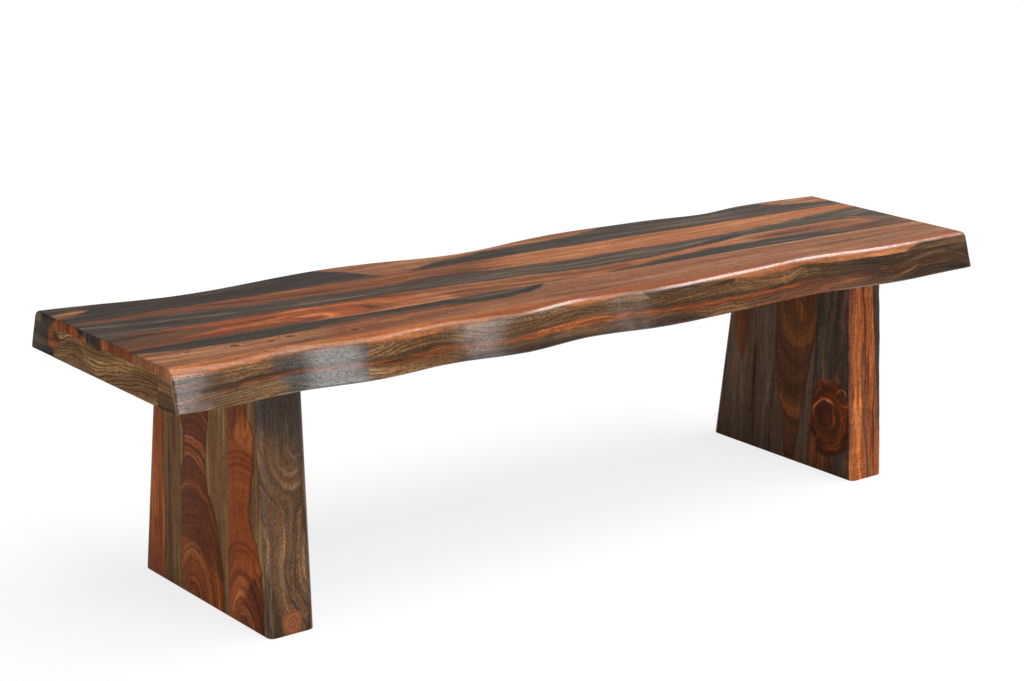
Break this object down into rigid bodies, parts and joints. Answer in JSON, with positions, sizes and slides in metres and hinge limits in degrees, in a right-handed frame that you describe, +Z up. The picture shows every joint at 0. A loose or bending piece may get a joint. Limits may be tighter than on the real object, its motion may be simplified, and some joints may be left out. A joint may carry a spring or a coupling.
{
  "type": "dining bench",
  "caption": "Long wooden dining bench: a thick hollow seat with wavy live edges on two slab legs that widen towards the floor.",
  "frame": {"origin": "on the floor, under the middle of the seat", "axes": "+X along the bench, +Y from the front edge to the rear edge, +Z up"},
  "size_m": [1.727, 0.4663, 0.457],
  "materials": {
    "seat_boards": "satin lacquer",
    "edge_strips": "satin lacquer",
    "end_fascias": "satin lacquer",
    "leg_boards": "satin lacquer",
    "inner_wood": "sawn",
    "dowel_wood": "plain",
    "zinc_steel": "zinc plated"
  },
  "bodies": {
    "root": {"seat_board_front": "seat_boards", "seat_board_mid_front": "seat_boards", "seat_board_mid_rear": "seat_boards", "seat_board_rear": "seat_boards", "front_edge_upper_strip": "edge_strips", "front_edge_lower_strip": "edge_strips", "rear_edge_upper_strip": "edge_strips", "rear_edge_lower_strip": "edge_strips", "left_end_fascia": "end_fascias", "right_end_fascia": "end_fascias", "left_leg_batten": "inner_wood", "right_leg_batten": "inner_wood", "centre_batten": "inner_wood", "left_leg_board_front": "leg_boards", "left_leg_board_mid": "leg_boards", "left_leg_board_rear": "leg_boards", "right_leg_board_front": "leg_boards", "right_leg_board_mid": "leg_boards", "right_leg_board_rear": "leg_boards", "left_leg_inner_cleat": "inner_wood", "left_leg_outer_cleat": "inner_wood", "right_leg_inner_cleat": "inner_wood", "right_leg_outer_cleat": "inner_wood", "seat_dowels": "dowel_wood", "leg_dowels": "dowel_wood", "coach_screws": "zinc_steel"}
  },
  "joints": []
}
